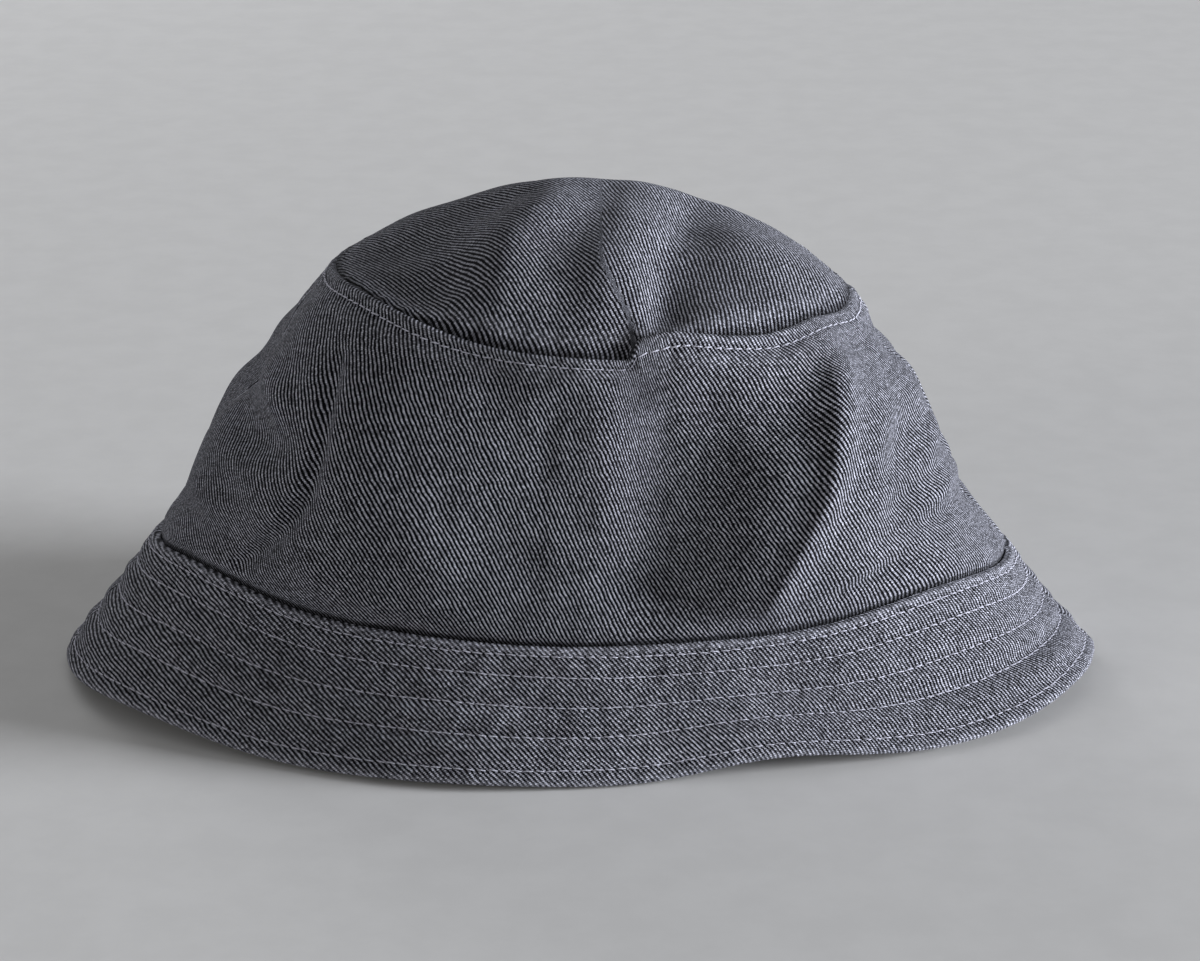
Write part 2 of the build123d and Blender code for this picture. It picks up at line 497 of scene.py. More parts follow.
def side_seam_gap(share):
    """Millimetres to the nearer side seam, at shares 0 and a half of the way round."""
    return np.abs((share * 2 + 0.5) % 1 - 0.5) * HALF_ROUND


def side_seam_dip(share, depth=0.7):
    """The grooves of the two side seams, each with a soft ridge beside it."""
    gap = side_seam_gap(share)
    return -depth * bump(gap, 0, 0.8) + 0.22 * bump(gap, 3.5, 2.6)


def side_relief(share, h):
    """The side panel's own surface: turned seam allowance, folded top edge, sewn row."""
    top = SIDE_SLOPE - h
    fold = -1.1 * rolled(top, 1.1)
    allowance = 0.30 * smooth(8.4 - top, 0, 1.6)
    foot = -0.9 * smooth(-h, -3.0, 0.6) - 0.7 * smooth(-h, -0.4, 1.4)
    return fold + allowance + foot + row_dip(share, h, [TIP_ROW]) + side_seam_dip(share)


def brim_relief(share, h):
    """The brim's own surface: folded top edge, turned allowance, sewn rows, rolled hem."""
    fold = -1.9 * rolled(h, 1.6)
    allowance = 0.5 * smooth(7.6 - h, 0, 1.5)
    roll = -1.15 * rolled(BRIM_SLOPE - h, 1.2)
    puff = 0.25 * bump(h, 38.0, 1.5)
    between = 0.44 * np.cos((h - 13.1) / 8.7 * TAU) * smooth(h, 9, 13) * smooth(36 - h, 0, 4)
    return (
        fold + allowance + roll + puff + between
        + row_dip(share, h, BRIM_ROWS.values(), 0.36) + side_seam_dip(share, 0.5)
    )


def under_relief(share, h):
    """The under brim's own surface: how far the sewn rows draw it in."""
    return -row_dip(share, h, UNDER_ROWS, 0.3)


# ---------------- finished surfaces
def crown_point(share, h, off):
    """A point of the crown's side, off millimetres out of its plain outer face."""
    share, h, off = np.broadcast_arrays(share, h, off)
    p = crown_base(share, h)
    n = outward(crown_base, share, h)
    top = smooth(h / SIDE_SLOPE, 0.45, 1.0)[..., None]
    moved = p + n * (off + crown_push(p))[..., None] + seam_shift(p) * top
    moved = moved + notch_shift(p) * smooth(h, SIDE_SLOPE - 9, SIDE_SLOPE)[..., None]
    moved[..., 2] += foot_lift(around_front(p)) * smooth(1 - h / SIDE_SLOPE, 0.35, 1.0)
    return settle(moved)


def brim_point(share, h, off):
    """A point of the brim, off millimetres out of its plain upper face."""
    share, h, off = np.broadcast_arrays(share, h, off)
    p = brim_base(share, h)
    n = -outward(brim_base, share, h)
    push = brim_push(p, h)
    lift = hem_lift(around_front(p)) * smooth(h / BRIM_SLOPE, 0.15, 1.0)
    moved = p + n * (off + push)[..., None]
    lift = lift + foot_lift(around_front(p)) * smooth(1 - h / BRIM_SLOPE, 0, 1.0)
    moved[..., 2] = np.maximum(moved[..., 2] + lift, 0.0)
    return settle(moved)


def tip_point(share, rho, off):
    """A point of the tip, off millimetres above its plain upper face."""
    share, rho, off = np.broadcast_arrays(share, rho, off)
    p = tip_base(share, rho)
    seam = np.full_like(share, SIDE_SLOPE)
    rim = crown_base(share, seam)
    near = np.clip(rho, 0, 1.1)[..., None]
    rim_push = outward(crown_base, share, seam)
    rim_push = rim_push * crown_push(rim)[..., None]
    moved = p + (seam_shift(rim) + rim_push) * near**5 + notch_shift(rim) * near**28
    moved = moved + notch_shift(rim, 3.5) * (near**7 - near**28)
    moved[..., 2] += tip_push(p, rho) + off
    return settle(moved)


# ---------------- meshes
def make_mesh(name, points, faces, cloth, material, wear_and_shade=None):
    """A smooth mesh object from points in millimetres, quads, and cloth coordinates."""
    mesh = bpy.data.meshes.new(name)
    points = np.asarray(points, float).reshape(-1, 3) * MM
    faces = np.asarray(faces, np.int32)
    mesh.vertices.add(len(points))
    mesh.vertices.foreach_set("co", points.ravel())
    mesh.loops.add(faces.size)
    mesh.loops.foreach_set("vertex_index", faces.ravel())
    mesh.polygons.add(len(faces))
    sides = faces.shape[1]
    mesh.polygons.foreach_set("loop_start", np.arange(0, faces.size, sides))
    mesh.polygons.foreach_set("use_smooth", np.full(len(faces), True))
    layer = mesh.uv_layers.new(name="cloth")
    flat = np.asarray(cloth, float).reshape(-1, 2)[faces.ravel()] * MM
    layer.uv.foreach_set("vector", flat.ravel())
    if wear_and_shade is not None:
        layer = mesh.attributes.new("wear_and_shade", "FLOAT", "POINT")
        layer.data.foreach_set("value", np.asarray(wear_and_shade, float).ravel())
    mesh.update()
    mesh.validate()
    obj = bpy.data.objects.new(name, mesh)
    bpy.context.scene.collection.objects.link(obj)
    mesh.materials.append(material)
    return obj


def grid_faces(rows, cols, start=0, closed=False):
    """Quads of a grid whose points run along cols first."""
    across = np.arange(cols if closed else cols - 1)
    j, i = np.meshgrid(np.arange(rows - 1), across, indexing="ij")
    k = (i + 1) % cols
    a = start + j * cols + i
    b = start + j * cols + k
    c = start + (j + 1) * cols + k
    d = start + (j + 1) * cols + i
    return np.stack([a, b, c, d], -1).reshape(-1, 4)


def shell(name, outer, inner, cloth, wear_and_shade, material, closed=False):
    """A shell between two grids of points, joined all round their rims.

    With closed, the grids' columns run right round the hat.
    """
    rows, cols = outer.shape[:2]
    wear_and_shade = np.broadcast_to(wear_and_shade, (rows, cols))
    size = rows * cols
    faces = [grid_faces(rows, cols, 0, closed)]
    faces.append(grid_faces(rows, cols, size, closed)[:, ::-1])
    step = np.arange(cols if closed else cols - 1)
    nxt = (step + 1) % cols
    for row, turned in ((0, True), (rows - 1, False)):
        a, b = row * cols + step, row * cols + nxt
        rim = np.stack([a, b, b + size, a + size], -1)
        faces.append(rim if turned else rim[:, ::-1])
    if not closed:
        up = np.arange(rows - 1)
        for col, turned in ((0, False), (cols - 1, True)):
            a, b = up * cols + col, (up + 1) * cols + col
            rim = np.stack([a, b, b + size, a + size], -1)
            faces.append(rim if turned else rim[:, ::-1])
    faces = np.concatenate(faces)
    points = np.concatenate([outer.reshape(-1, 3), inner.reshape(-1, 3)])
    both = np.concatenate([cloth.reshape(-1, 2)] * 2)
    worn_and_shaded = np.concatenate([wear_and_shade.ravel()] * 2)
    return make_mesh(name, points, faces, both, material, worn_and_shaded)


def levels(low, high, step, fine=(), fine_step=0.25, reach=1.6):
    """Heights from low to high, closer together near some of them."""
    marks = [low]
    while marks[-1] < high - 1e-6:
        here = marks[-1]
        size = fine_step if any(abs(here - f) < reach for f in fine) else step
        marks.append(min(here + size, high))
    return np.array(marks)


# ---------------- flat cloth, wear and painted shade
SIDE_SPREAD = 0.52  # half the angle of the side panel's flat ring sector, in radians
BRIM_SPREAD = 0.80  # the same of a brim half


def swung(flat, pin, angle):
    """Flat coordinates turned about a point by angles that may differ from place to place."""
    x, y = flat[..., 0] - pin[0], flat[..., 1] - pin[1]
    c, s = np.cos(angle), np.sin(angle)
    return np.stack([pin[0] + x * c - y * s, pin[1] + x * s + y * c], -1)


def side_cloth(share, h, middle):
    """Where a point of a side panel lies on the flat cut piece, a ring sector.

    On the front's +X part the cloth is turned, at the crease and again past the corner.
    """
    q = (share - middle) / 0.25
    foot, taper = HALF_ROUND / 2, (HALF_ROUND - TIP_HALF_ROUND) / 2
    radius = (foot - taper * h / SIDE_SLOPE) / SIDE_SPREAD
    u = radius * np.sin(SIDE_SPREAD * q)
    v = foot / SIDE_SPREAD - radius * np.cos(SIDE_SPREAD * q)
    flat = np.stack([u, v], -1)
    if middle > 0.5:
        crease = 0.03 * smooth(q, 0.2, 0.45) - 0.20 * smooth(q, 0.04, 0.19)
        flat = swung(flat, (15.0, 16.0), crease)
        flat = swung(flat, (85.0, 31.0), -0.20 * smooth(q, 0.5, 0.75))
    return flat


def brim_cloth(share, h, middle):
    """Where a point of a brim half lies on its flat ring-shaped piece."""
    q = (share - middle) / 0.25
    radius = HALF_ROUND / 2 / BRIM_SPREAD + h
    u = radius * np.sin(BRIM_SPREAD * q)
    v = -radius * np.cos(BRIM_SPREAD * q)
    return np.stack([u, v], -1)


def tip_cloth(share, rho):
    """Where a point of the tip lies on the flat cut piece: its plan."""
    return tip_base(*np.broadcast_arrays(share, rho))[..., :2]


def pleated(flat):
    """The tip's cloth coordinates: swung round past the pinch, and again past the fold."""
    x, y = flat[..., 0], flat[..., 1]
    pinch = np.radians(14.0) * smooth(x - pinch_line(y), -0.2, 0.3) * smooth(62 - y, 0, 40)
    bend = np.radians(9.0) * smooth(x - fold_line(y), -7, 8) * smooth(16 - y, 0, 44)
    return swung(swung(flat, (2.0, 36.0), pinch), (16.0, -30.0), bend)


def band_cloth(share, h):
    """Where a point of the sweatband or its label lies along the straight tape."""
    return np.stack(np.broadcast_arrays(share * BAND_ROUND, h), -1)


def side_wear_and_shade(share, h):
    """Rubbed wear is above 0; painted shade is below it, in the grooves of the side seams and
    the tip's row and at the panel's foot under the brim's fold.
    """
    top, seam = SIDE_SLOPE - h, side_seam_gap(share)
    rubbed = 0.35 * bump(top, 1.1, 0.9) + 0.5 * bump(seam, 1.8, 1.0)
    rubbed = rubbed + 0.25 * bump(top, 6.0, 1.6)
    # painted shade at the foot under the brim's fold, in the side seams and in the tip row's
    # groove
    dark = 0.8 * smooth(1.3 - h, 0, 1.2) + 0.8 * bump(seam, 0, 0.5)
    dark = dark + 0.2 * bump(top, 3.3, 0.5)
    return np.clip(rubbed - dark, -1, 1)


def brim_wear_and_shade(share, h):
    """The same for the brim, whose edge and top seam are rubbed most; painted shade darkens its
    side seams and the grooves of its sewn rows.
    """
    seam = side_seam_gap(share)
    rubbed = bump(h, 1.3, 0.9) + bump(BRIM_SLOPE - h, 0.4, 0.9) + 0.4 * bump(seam, 1.8, 1.0)
    # painted shade in the side seams' grooves
    dark = 0.8 * bump(seam, 0, 0.5)
    # painted shade in each sewn row's groove, and a little lighter 2.2 mm to either side
    for row in BRIM_ROWS.values():
        dark = dark + 0.22 * bump(h, row, 0.7) - 0.12 * bump(abs(h - row), 2.2, 1.0)
    return np.clip(rubbed - dark, -1, 1)


# ---------------- materials
class Graph:
    """Short names for making a material's nodes."""

    def __init__(self, name):
        self.material = bpy.data.materials.new(name)
        self.material.use_nodes = True
        self.tree = self.material.node_tree
        self.tree.nodes.clear()

    def node(self, kind, inputs=None, **settings):
        n = self.tree.nodes.new("ShaderNode" + kind)
        for key, value in settings.items():
            setattr(n, key, value)
        for key, value in (inputs or {}).items():
            if isinstance(value, bpy.types.NodeSocket):
                self.tree.links.new(value, n.inputs[key])
            else:
                n.inputs[key].default_value = value
        return n

    def math(self, operation, a, b=0.0, c=0.0, clamp=False):
        n = self.node("Math", {0: a, 1: b, 2: c}, operation=operation, use_clamp=clamp)
        return n.outputs[0]

    def vector(self, operation, a, b):
        return self.node("VectorMath", {0: a, 1: b}, operation=operation).outputs[0]

    def scaled(self, a, scale):
        n = self.node("VectorMath", {0: a, "Scale": scale}, operation="SCALE")
        return n.outputs[0]

    def mix(self, amount, a, b):
        n = self.node("Mix", {0: amount}, data_type="RGBA")
        for socket, value in ((6, a), (7, b)):
            if isinstance(value, bpy.types.NodeSocket):
                self.tree.links.new(value, n.inputs[socket])
            else:
                n.inputs[socket].default_value = (*value, 1.0)
        return n.outputs[2]

    def ramp(self, value, low, high):
        """0 at low, 1 at high, with an even curve between."""
        n = self.node(
            "MapRange",
            {"Value": value, "From Min": low, "From Max": high},
            interpolation_type="SMOOTHSTEP",
        )
        return n.outputs["Result"]

    def noise(self, vector, scale, detail=2.0, rough=0.5):
        n = self.node(
            "TexNoise",
            {"Vector": vector, "Scale": scale, "Detail": detail, "Roughness": rough},
        )
        return n.outputs[0]

    def random(self, value, dims="1D"):
        """A number from 0 to 1 that is the same wherever the value is."""
        key = "W" if dims == "1D" else "Vector"
        return self.node("TexWhiteNoise", {key: value}, noise_dimensions=dims).outputs[0]

    def finish(self, colour, roughness, normal, sheen=0.0, sheen_tint=(1, 1, 1),
               shine=0.18):
        shader = self.node("BsdfPrincipled", {
            "Base Color": colour, "Roughness": roughness, "Normal": normal,
            "Sheen Weight": sheen, "Specular IOR Level": shine,
        })
        shader.inputs["Sheen Roughness"].default_value = 0.45
        shader.inputs["Sheen Tint"].default_value = (*sheen_tint, 1.0)
        out = self.node("OutputMaterial")
        self.tree.links.new(shader.outputs[0], out.inputs["Surface"])
        return self.material


def cloth_mm(g):
    """The flat cloth coordinates in millimetres, with a little yarn wander."""
    uv = g.node("UVMap", uv_map="cloth").outputs[0]
    mm = g.scaled(uv, 1000.0)
    wander = g.node(
        "TexNoise", {"Vector": mm, "Scale": 0.16, "Detail": 3.0, "Roughness": 0.6}
    ).outputs[1]
    centred = g.vector("SUBTRACT", wander, (0.5, 0.5, 0.5))
    moved = g.vector("ADD", mm, g.scaled(centred, 1.1))
    parts = g.node("SeparateXYZ", {0: moved})
    return mm, parts.outputs[0], parts.outputs[1]


def denim(name, light, dark, turn=26.0, painted_light_gain=1.0, pitch=RIB_PITCH):
    """Twill: light floats that step over at each pick, making slanted ribs on dark weft.

    turn is how far the ribs lean from the cloth's own up, in degrees.
    """
    g = Graph(name)
    mm, u, v = cloth_mm(g)
    lean = math.tan(math.radians(turn))
    rib = math.cos(math.radians(turn)) / pitch
    row = g.math("DIVIDE", v, PICK)
    pick = g.math("FLOOR", row)
    across = g.math("SINE", g.math("MULTIPLY", g.math("FRACT", row), math.pi))
    jog = g.random(pick)
    shift = g.math("MULTIPLY_ADD", pick, PICK * rib * lean, g.math("MULTIPLY", u, rib))
    shift = g.math("MULTIPLY_ADD", jog, 0.11, shift)
    fray = g.noise(mm, 1.9, 1.0, 0.5)
    shift = g.math("MULTIPLY_ADD", fray, 0.22, shift)
    wave = g.math("SINE", g.math("MULTIPLY", shift, TAU))
    floats = g.ramp(wave, -0.14, 0.66)
    pick_dip = g.math("MULTIPLY_ADD", g.math("POWER", across, 0.6), 0.55, 0.45)
    weave = g.math("MULTIPLY", floats, pick_dip)
    cell = g.node("CombineXYZ", {0: g.math("FLOOR", g.math("ADD", shift, 0.25)), 1: pick})
    own = g.random(cell.outputs[0], "2D")
    yarn_tone = g.random(pick)
    slub = g.noise(
        g.node("CombineXYZ", {0: g.math("MULTIPLY", u, 0.3), 1: g.math("MULTIPLY", v, 1.6)})
        .outputs[0], 1.0, 2.0, 0.6,
    )
    cloud = g.noise(mm, 0.035, 4.0, 0.6)
    lint = g.noise(mm, 0.9, 3.0, 0.7)
    tone = g.math("MULTIPLY_ADD", yarn_tone, 0.22, 0.40)
    tone = g.math("MULTIPLY_ADD", own, 0.75, tone)
    tone = g.math("MULTIPLY_ADD", slub, 0.50, tone)
    tone = g.math("MULTIPLY_ADD", cloud, 0.30, g.math("SUBTRACT", tone, 0.45))
    # painted_light_gain scales the whole colour of the same denim: above 1 it is painted light,
    # below 1 painted shade
    tone = g.math("MULTIPLY", tone, painted_light_gain)
    body = g.math("POWER", weave, 1.25)
    thin = g.ramp(lint, 0.30, 0.60)
    body = g.math("MULTIPLY", body, g.math("MULTIPLY_ADD", thin, 0.35, 0.65))
    # The wear_and_shade attribute: values above 0 lighten rubbed yarn, which is real wear;
    # values below 0 darken the colour as painted shade in grooves and under folds.
    wear_and_shade = g.node("Attribute", attribute_name="wear_and_shade").outputs["Fac"]
    rubbed = g.math("MULTIPLY", g.math("MAXIMUM", wear_and_shade, 0.0), g.ramp(lint, 0.35, 0.6))
    body = g.math("MULTIPLY_ADD", rubbed, 0.26, body, clamp=True)
    # painted shade: the colour darkened where the attribute is below 0
    painted_groove_shade = g.math("MULTIPLY_ADD", g.math("MINIMUM", wear_and_shade, 0.0), 0.88, 1.0)
    colour = g.mix(body, dark, light)
    tone = g.math("MULTIPLY", tone, painted_groove_shade)
    shaded = g.scaled(colour, tone)
    fuzz = g.noise(mm, 4.0, 2.0, 0.6)
    height = g.math("MULTIPLY_ADD", fuzz, 0.25, weave)
    bump_node = g.node("Bump", {"Height": height, "Strength": 0.85, "Distance": 0.00022})
    rough = g.math("MULTIPLY_ADD", weave, -0.12, 0.95)
    return g.finish(shaded, rough, bump_node.outputs[0], 0.04, (0.8, 0.83, 0.95), 0.08)


def plain_weave(name, light, dark, pitch=0.5, sheen=0.05):
    """Plain weave: yarns over and under in a chequer."""
    g = Graph(name)
    mm, u, v = cloth_mm(g)
    a = g.math("SINE", g.math("MULTIPLY", u, math.pi / pitch))
    b = g.math("SINE", g.math("MULTIPLY", v, math.pi / pitch))
    cross = g.math("MULTIPLY", a, b)
    over = g.math("MULTIPLY_ADD", cross, 0.5, 0.5)
    cloud = g.noise(mm, 0.05, 4.0, 0.6)
    amount = g.math("MULTIPLY_ADD", cloud, 0.5, g.math("MULTIPLY", over, 0.7), clamp=True)
    colour = g.mix(amount, dark, light)
    bump_node = g.node("Bump", {"Height": over, "Strength": 0.5, "Distance": 0.00012})
    rough = g.math("MULTIPLY_ADD", over, -0.1, 0.9)
    return g.finish(colour, rough, bump_node.outputs[0], sheen)


def thread_material(name, light, dark):
    """Twisted two-ply thread: slanted bands along each stitch."""
    g = Graph(name)
    uv = g.node("UVMap", uv_map="cloth").outputs[0]
    mm = g.scaled(uv, 1000.0)
    parts = g.node("SeparateXYZ", {0: mm})
    turn = g.math("ADD", g.math("MULTIPLY", parts.outputs[0], 9.0), parts.outputs[1])
    ply = g.math("MULTIPLY_ADD", g.math("SINE", turn), 0.5, 0.5)
    cloud = g.noise(mm, 0.25, 3.0, 0.6)
    amount = g.math("MULTIPLY_ADD", cloud, 0.6, g.math("MULTIPLY", ply, 0.5), clamp=True)
    colour = g.mix(amount, dark, light)
    bump_node = g.node("Bump", {"Height": ply, "Strength": 0.6, "Distance": 0.00008})
    rough = g.math("MULTIPLY_ADD", ply, -0.15, 0.75)
    return g.finish(colour, rough, bump_node.outputs[0], 0.1)


LIGHT_YARN = (0.54, 0.548, 0.63)
DARK_YARN = (0.0035, 0.0036, 0.0052)
denim_side = denim("denim_side", LIGHT_YARN, DARK_YARN, 24.0)
# the brim: the same denim lightened as painted light
denim_brim = denim("denim_brim", LIGHT_YARN, DARK_YARN, 41.0, painted_light_gain=1.05)
denim_tip = denim("denim_tip", LIGHT_YARN, DARK_YARN, 30.0, pitch=1.1 * RIB_PITCH)
# the under brim: the same denim darkened as painted shade
denim_under = denim("denim_under_brim", LIGHT_YARN, DARK_YARN, 44.0, painted_light_gain=0.9)
LINING_GREY, LINING_BLACK = (0.035, 0.036, 0.042), (0.012, 0.012, 0.015)
BAND_GREY, BAND_BLACK = (0.022, 0.022, 0.027), (0.007, 0.007, 0.009)
lining_cotton = plain_weave("lining_cotton", LINING_GREY, LINING_BLACK, 0.3)
inter_cotton = plain_weave("interlining", (0.62, 0.61, 0.56), (0.42, 0.41, 0.37), 0.6)
band_cotton = plain_weave("sweatband_cotton", BAND_GREY, BAND_BLACK, 0.45)
label_satin = plain_weave("label_tape", (0.72, 0.71, 0.67), (0.55, 0.54, 0.50), 0.2, 0.3)
thread = thread_material("thread", (0.68, 0.68, 0.78), (0.36, 0.36, 0.43))


def keep(obj, node):
    """The frame's facts of a piece: it rides on the hat and stands for a CAD node."""
    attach(obj, "root")
    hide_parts(node)


def layer(node, slot_name, grids, material, closed=False):
    """A cloth shell from its four grids (outer, inner, cloth, wear and painted shade), named as
    its node.
    """
    piece = shell(node, *grids, material, closed)
    keep(piece, node)
    return piece


# ---------------- side panels
def make_side_panel(half, start, end):
    """A side panel of denim, thicker near its top where the edge is turned in."""
    share = np.linspace(start, end, 340)[None, :]
    fine = (0.4, TIP_ROW, SIDE_SLOPE - 8, SIDE_SLOPE)
    h = levels(-1.8, SIDE_SLOPE, 1.05, fine, 0.36)[:, None]
    relief = side_relief(share, h)
    thick = DENIM + 0.55 * smooth(8 - (SIDE_SLOPE - h), 0, 1)
    outer = crown_point(share, h, relief)
    inner = crown_point(share, h, np.minimum(-thick, relief - 0.15))
    cloth = side_cloth(share, h, (start + end) / 2)
    grids = outer, inner, cloth, side_wear_and_shade(share, h)
    piece = layer(f"side_panel_{half}", "denim_side", grids, denim_side)


def make_side_lining(half, start, end):
    """The lining behind a side panel, which sags a little."""
    share = np.linspace(start, end, 180)[None, :]
    h = levels(-1.0, SIDE_SLOPE - 1.2, 2.2)[:, None]
    sag = np.minimum(0.25 * CREASE(share * 400, h * 1.3), 0.2) - 0.25
    outer = crown_point(share, h, LINING_OUT + sag)
    inner = crown_point(share, h, LINING_IN + sag)
    cloth = side_cloth(share, h, (start + end) / 2)
    grids = outer, inner, cloth, 0.0
    piece = layer(f"lining_side_{half}", "lining_cotton", grids, lining_cotton)


# ---------------- brim layers
def make_upper_brim(half, start, end):
    """The outer brim: folded over the crown's foot, sewn in rows, rolled at its edge."""
    share = np.linspace(start, end, 380)[None, :]
    fine = (0, *BRIM_ROWS.values(), BRIM_SLOPE)
    h = levels(0.0, BRIM_SLOPE, 0.8, fine, 0.34)[:, None]
    relief = brim_relief(share, h)
    outer = brim_point(share, h, relief)
    inner = brim_point(share, h, np.minimum(-DENIM, relief - 0.12))
    cloth = brim_cloth(share, h, (start + end) / 2)
    grids = outer, inner, cloth, brim_wear_and_shade(share, h)
    piece = layer(f"upper_brim_{half}", "denim_brim", grids, denim_brim)


def make_interlining(half, start, end):
    """The brim's stiffener. It follows the rows' grooves, so it never shows through."""
    share = np.linspace(start, end, 200)[None, :]
    h = levels(2.2, BRIM_SLOPE - 1.6, 1.6)[:, None]
    face = np.minimum(INTER_OUT, brim_relief(share, h) - 0.3)
    outer = brim_point(share, h, face)
    inner = brim_point(share, h, np.minimum(INTER_IN, face - 0.25))
    cloth = brim_cloth(share, h, (start + end) / 2)
    grids = outer, inner, cloth, 0.0
    piece = layer(f"brim_interlining_{half}", "interlining", grids, inter_cotton)


def make_under_brim(half, start, end):
    """The under brim, whose lower face has the rows' grooves and the rolled edge."""
    share = np.linspace(start, end, 380)[None, :]
    h = levels(0.0, BRIM_SLOPE, 0.9, (*BRIM_ROWS.values(), BRIM_SLOPE), 0.36)[:, None]
    roll = 1.05 * rolled(BRIM_SLOPE - h, 1.2)
    dips = under_relief(share, h) + roll
    outer = brim_point(share, h, UNDER_OUT + np.minimum(0.12 * roll, 0.1))
    inner = brim_point(share, h, UNDER_IN + np.minimum(dips, UNDER_DEEPEST))
    cloth = brim_cloth(share, h, (start + end) / 2)
    grids = outer, inner, cloth, brim_wear_and_shade(share, h) * 0.6
    piece = layer(f"under_brim_{half}", "denim_under_brim", grids, denim_under)


# ---------------- tip and its lining
def outside_up(*grids):
    """Reverses the rows of a disc's grids, so that its shell has its faces outward."""
    return [grid[::-1] for grid in grids]


def make_tip():
    """The domed tip of denim, turned down into the seam all round."""
    share = np.linspace(0, 1, 420, endpoint=False)[None, :]
    middle, border = np.linspace(0.004, 0.9, 62), np.linspace(0.908, 0.995, 14)
    rho = np.concatenate([middle, border])[:, None]
    edge = (1 - rho) * TIP_RADIUS
    dip = -1.9 * rolled(edge, 2.6)
    pucker = 0.16 * PUCKER(share * 420, edge * 0.5) * bump(edge, 0, 5.0)
    outer = tip_point(share, rho, dip + pucker)
    inner = tip_point(share, rho, np.minimum(-DENIM, dip - 0.2))
    # painted shade where the tip dips into the seam's groove, and rubbed wear a little further
    # in
    worn_and_shaded = 0.35 * bump(edge, 4.2, 1.6) - bump(edge, 0, 1.9)
    grids = outside_up(outer, inner, pleated(tip_cloth(share, rho)), worn_and_shaded)
    piece = layer("crown_tip", "denim_tip", grids, denim_tip, closed=True)


def make_tip_lining():
    """The lining under the tip."""
    share = np.linspace(0, 1, 200, endpoint=False)[None, :]
    rho = np.linspace(0.01, 0.975, 40)[:, None]
    outer = tip_point(share, rho, LINING_OUT - 0.1)
    inner = tip_point(share, rho, LINING_IN - 0.1)
    grids = outside_up(outer, inner, tip_cloth(share, rho), 0 * rho)
    piece = layer("lining_tip", "lining_cotton", grids, lining_cotton, closed=True)


# ---------------- sweatband and label
def make_sweatband():
    """The band round the opening, with rounded edges and a groove where it is sewn."""
    share = np.linspace(0, 1, 420, endpoint=False)[None, :]
    low = -0.6
    h = levels(low, BAND_HEIGHT, 1.2, (0, BAND_ROW, BAND_HEIGHT), 0.5)[:, None]
    roll = 0.55 * rolled(np.minimum(h - low, BAND_HEIGHT - h), 1.0)
    ripple = 0.25 * np.minimum(CREASE(share * BAND_ROUND, h), 0.4) * smooth(h, 4, 20)
    dips = row_dip(share, h, [BAND_ROW], 0.3)
    outer = crown_point(share, h, BAND_OUT - BAND_SET - roll + ripple)
    inner = crown_point(share, h, BAND_IN - BAND_SET + roll - dips + ripple)
    grids = outer, inner, band_cloth(share, h), 0.0
    piece = layer("sweatband", "sweatband_cotton", grids, band_cotton, closed=True)


def make_label():
    """The blank size label on the band, at the middle of the back."""
    reach = LABEL_WIDTH / 2 / OPENING_ROUND
    share = np.linspace(0.25 - reach, 0.25 + reach, 26)[None, :]
    h = levels(LABEL_LOW, LABEL_HIGH, 0.9, (LABEL_LOW, LABEL_HIGH), 0.4)[:, None]
    curl = 1.0 * smooth(h, 20, 30) + 0.15 * np.sin(share * 900)
    outer = crown_point(share, h, LABEL_OUT - curl)
    inner = crown_point(share, h, LABEL_IN - curl)
    grids = outer, inner, band_cloth(share, h), 0.0
    piece = layer("size_label", "label_tape", grids, label_satin)


# ---------------- stitches
# A stitch by rings along it: where they are, how thick, and how far they are lifted.
STITCH_RINGS = np.array([-1.0, -0.86, -0.55, 0.0, 0.55, 0.86, 1.0])
STITCH_FAT = np.array([0.35, 0.8, 1.0, 1.03, 1.0, 0.8, 0.35])
STITCH_LIFT = np.array([-0.42, -0.18, 0.02, 0.10, 0.02, -0.18, -0.42]) + THREAD_RISE
STITCH_SIDES = 7


def make_stitches(name, node, place, length, seed):
    """A sewn row: each stitch a short rounded thread that dips into the cloth.

    place(share, sideways, up) gives the point beside the row's line, up out of the cloth.
    """
    rng = np.random.default_rng(seed)
    count = int(round(length / STITCH_PITCH))
    centre = (np.arange(count) + 0.5 + rng.uniform(-0.05, 0.05, count)) / count
    reach = (STITCH_PITCH - STITCH_GAP) / 2 / length * rng.uniform(0.92, 1.06, count)
    drift = 0.18 * np.sin(centre * TAU * 9 + seed) + rng.uniform(-0.07, 0.07, count)
    slant = rng.uniform(-0.10, 0.10, count) + 0.10
    turn = np.arange(STITCH_SIDES) / STITCH_SIDES * TAU
    fat = STITCH_FAT[None, :, None] * THREAD_RADIUS
    up = np.sin(turn) * fat + STITCH_LIFT[None, :, None]
    side = np.cos(turn) * fat + drift[:, None, None] + (slant[:, None] * STITCH_RINGS)[..., None]
    share = centre[:, None, None] + reach[:, None, None] * STITCH_RINGS[None, :, None]
    share, side, up, turn = np.broadcast_arrays(share, side, up, turn)
    points = place(share, side, up)
    per = STITCH_RINGS.size * STITCH_SIDES
    one = grid_faces(STITCH_RINGS.size, STITCH_SIDES, 0, True)
    faces = (one[None] + np.arange(count)[:, None, None] * per).reshape(-1, 4)
    cloth = np.stack([share * length, turn], -1)
    piece = make_mesh(name, points, faces, cloth, thread)
    close_ends(piece.data, np.arange(count) * per)
    keep(piece, node)


